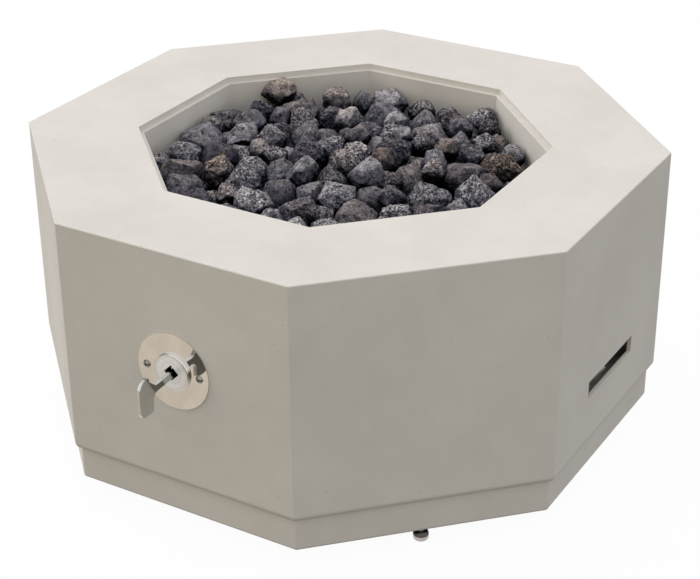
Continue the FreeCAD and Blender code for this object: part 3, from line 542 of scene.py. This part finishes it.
polished = metal("polished_plate", (0.84, 0.81, 0.76), rough=0.05, scratch=0.12)
chrome = metal("chrome", (0.69, 0.70, 0.68), rough=0.08, scratch=0.15)
screw_steel = metal("screw_steel", (0.30, 0.28, 0.26), rough=0.22, scratch=0.3)
dress("valve_plate", polished)
dress("plate_screws", screw_steel)
dress("valve_key", chrome)

# ---------------------------------------------------------------------------------------------
# Valve bezel. A round brass boss, turned in rings and screwed on the valve's nose: its face is
# satin chrome, and its rim is bright.

bezel_face_radius = 0.0170
bezel_rim_radius = 0.0175
outer_groove_radius = 0.0163
inner_groove_radius = 0.0105
groove_middle, groove_edge = 0.0001, 0.0004
satin_face = (0.93, 0.93, 0.94, 1)
groove_dark = (0.35, 0.34, 0.33, 1)
bright_rim = (0.70, 0.69, 0.67, 1)

finish = Finish("turned_bezel")
where = finish.place()
stem_low, stem_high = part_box("valve_stem")
axis_height = (stem_low[2] + stem_high[2]) / 2
across = finish.vector_math("MULTIPLY", where, (1, 0, 1))
off_axis = finish.vector_math("DISTANCE", across, (0, 0, axis_height), output="Value")


def turned_ring(radius):
    """1 in a fine groove round the valve's axis."""
    away = finish.node("ShaderNodeMath", {"operation": "ABSOLUTE"}, {0: off_axis - radius})
    return finish.spread(away, groove_middle, groove_edge, 1.0, 0.0)


rim = finish.spread(off_axis, bezel_face_radius, bezel_rim_radius)
rings = turned_ring(outer_groove_radius) + turned_ring(inner_groove_radius) * 0.6
marks = finish.noise(where, scale=900.0, detail=4.0, roughness=0.65)
face = finish.mix(rings * 0.5, satin_face, groove_dark)
bezel = finish.surface(
    Base_Color=finish.mix(rim, face, bright_rim),
    Metallic=finish.spread(rim, 0.0, 1.0, 0.5, 1.0),
    Roughness=finish.spread(rim, 0.0, 1.0, 0.42, 0.06),
    Normal=finish.bump(marks - rings, distance=0.00006, strength=0.5),
)
dress("valve_bezel", bezel)

# ---------------------------------------------------------------------------------------------
# Levelling feet. Each glide is a steel dome, painted near black on top as painted shade and
# reflection of the plinth above, with a polished band and sole.
# It swivels on a zinc-plated stud that screws up into a brass insert set in the plinth.

band_top, dome_bottom = 0.0052, 0.0062
band_steel = (0.50, 0.46, 0.45, 1)
painted_shade_steel = (0.10, 0.09, 0.085, 1)

zinc = metal("zinc_steel", (0.62, 0.62, 0.63), rough=0.38, scratch=0.6)
brass = metal("brass", (0.72, 0.52, 0.24), rough=0.28, scratch=0.5)
finish = Finish("glide")
where = finish.place()
height = finish.node("ShaderNodeSeparateXYZ", {}, {0: where}, "Z")
scuffs = finish.noise(where, scale=300.0, detail=3.0, roughness=0.6)
# Painted shade: the dome above the band is painted near black.
dome = finish.spread(height + scuffs * 0.001, band_top, dome_bottom)
glide = finish.surface(
    Base_Color=finish.mix(dome, band_steel, painted_shade_steel),
    Metallic=1.0,
    Roughness=finish.spread(dome, 0.0, 1.0, 0.12, 0.3),
    Normal=finish.bump(scuffs, distance=0.00005, strength=0.3),
)

for corner in ("front_right", "back_right", "back_left", "front_left"):
    dress("foot_pad_" + corner, glide)
    dress("foot_stud_" + corner, zinc)
dress("foot_inserts", brass)

# ---------------------------------------------------------------------------------------------
# Burner and gas fittings. Stainless pan, burner and gas line, zinc-plated washers and nuts, and
# machined brass fittings, screwed or flared together under the bowl.

steel = metal("stainless", (0.56, 0.55, 0.53), rough=0.34, scratch=0.6, scale=(1.0, 0.06, 1.0))

for name in ("burner_pan", "burner_ring", "burner_arms", "burner_hub", "gas_line"):
    dress(name, steel)
for name in ("hub_washer", "hub_nut", "wall_washer", "wall_nut"):
    dress(name, zinc)
for name in ("hub_elbow", "orifice_jet", "inlet_elbow", "outlet_fitting", "line_nuts"):
    dress(name, brass)
dress("valve_body", brass)

# ---------------------------------------------------------------------------------------------
# Inside the valve. The stem and its gland ring are brass painted near black, as painted shade in
# the key's hole, the ball is chromed, and the ball's seats, the stem's seal and the plate's wall
# plugs are moulded and pressed in.

# Painted shade: the stem and gland are near black so the key's hole looks dark.
hole_painted_shade = metal("brass_painted_shade", (0.045, 0.042, 0.038), rough=0.4, scratch=0.5)
dress("valve_stem", hole_painted_shade)
dress("stem_gland", hole_painted_shade)
dress("valve_ball", chrome)


def moulded(name, colour, rough):
    """Moulded plastic or rubber with a fine tool grain."""
    film_share = 0.86
    finish = Finish(name)
    where = finish.place()
    grain = finish.noise(where, scale=1200.0, detail=3.0, roughness=0.6)
    film = finish.noise(where, scale=90.0, detail=3.0, roughness=0.5)
    darker = tuple(value * film_share for value in colour) + (1,)
    return finish.surface(
        Base_Color=finish.mix(film, darker, (*colour, 1)),
        Roughness=finish.spread(grain, *noise_band, rough * 0.85, rough * 1.15),
        Normal=finish.bump(grain, distance=0.00005, strength=0.5),
    )


dress("ball_seats", moulded("sealing_plastic", (0.82, 0.82, 0.79), rough=0.4))
dress("stem_seal", moulded("seal_rubber", (0.02, 0.02, 0.02), rough=0.6))
dress("wall_plugs", moulded("plug_nylon", (0.42, 0.42, 0.42), rough=0.5))
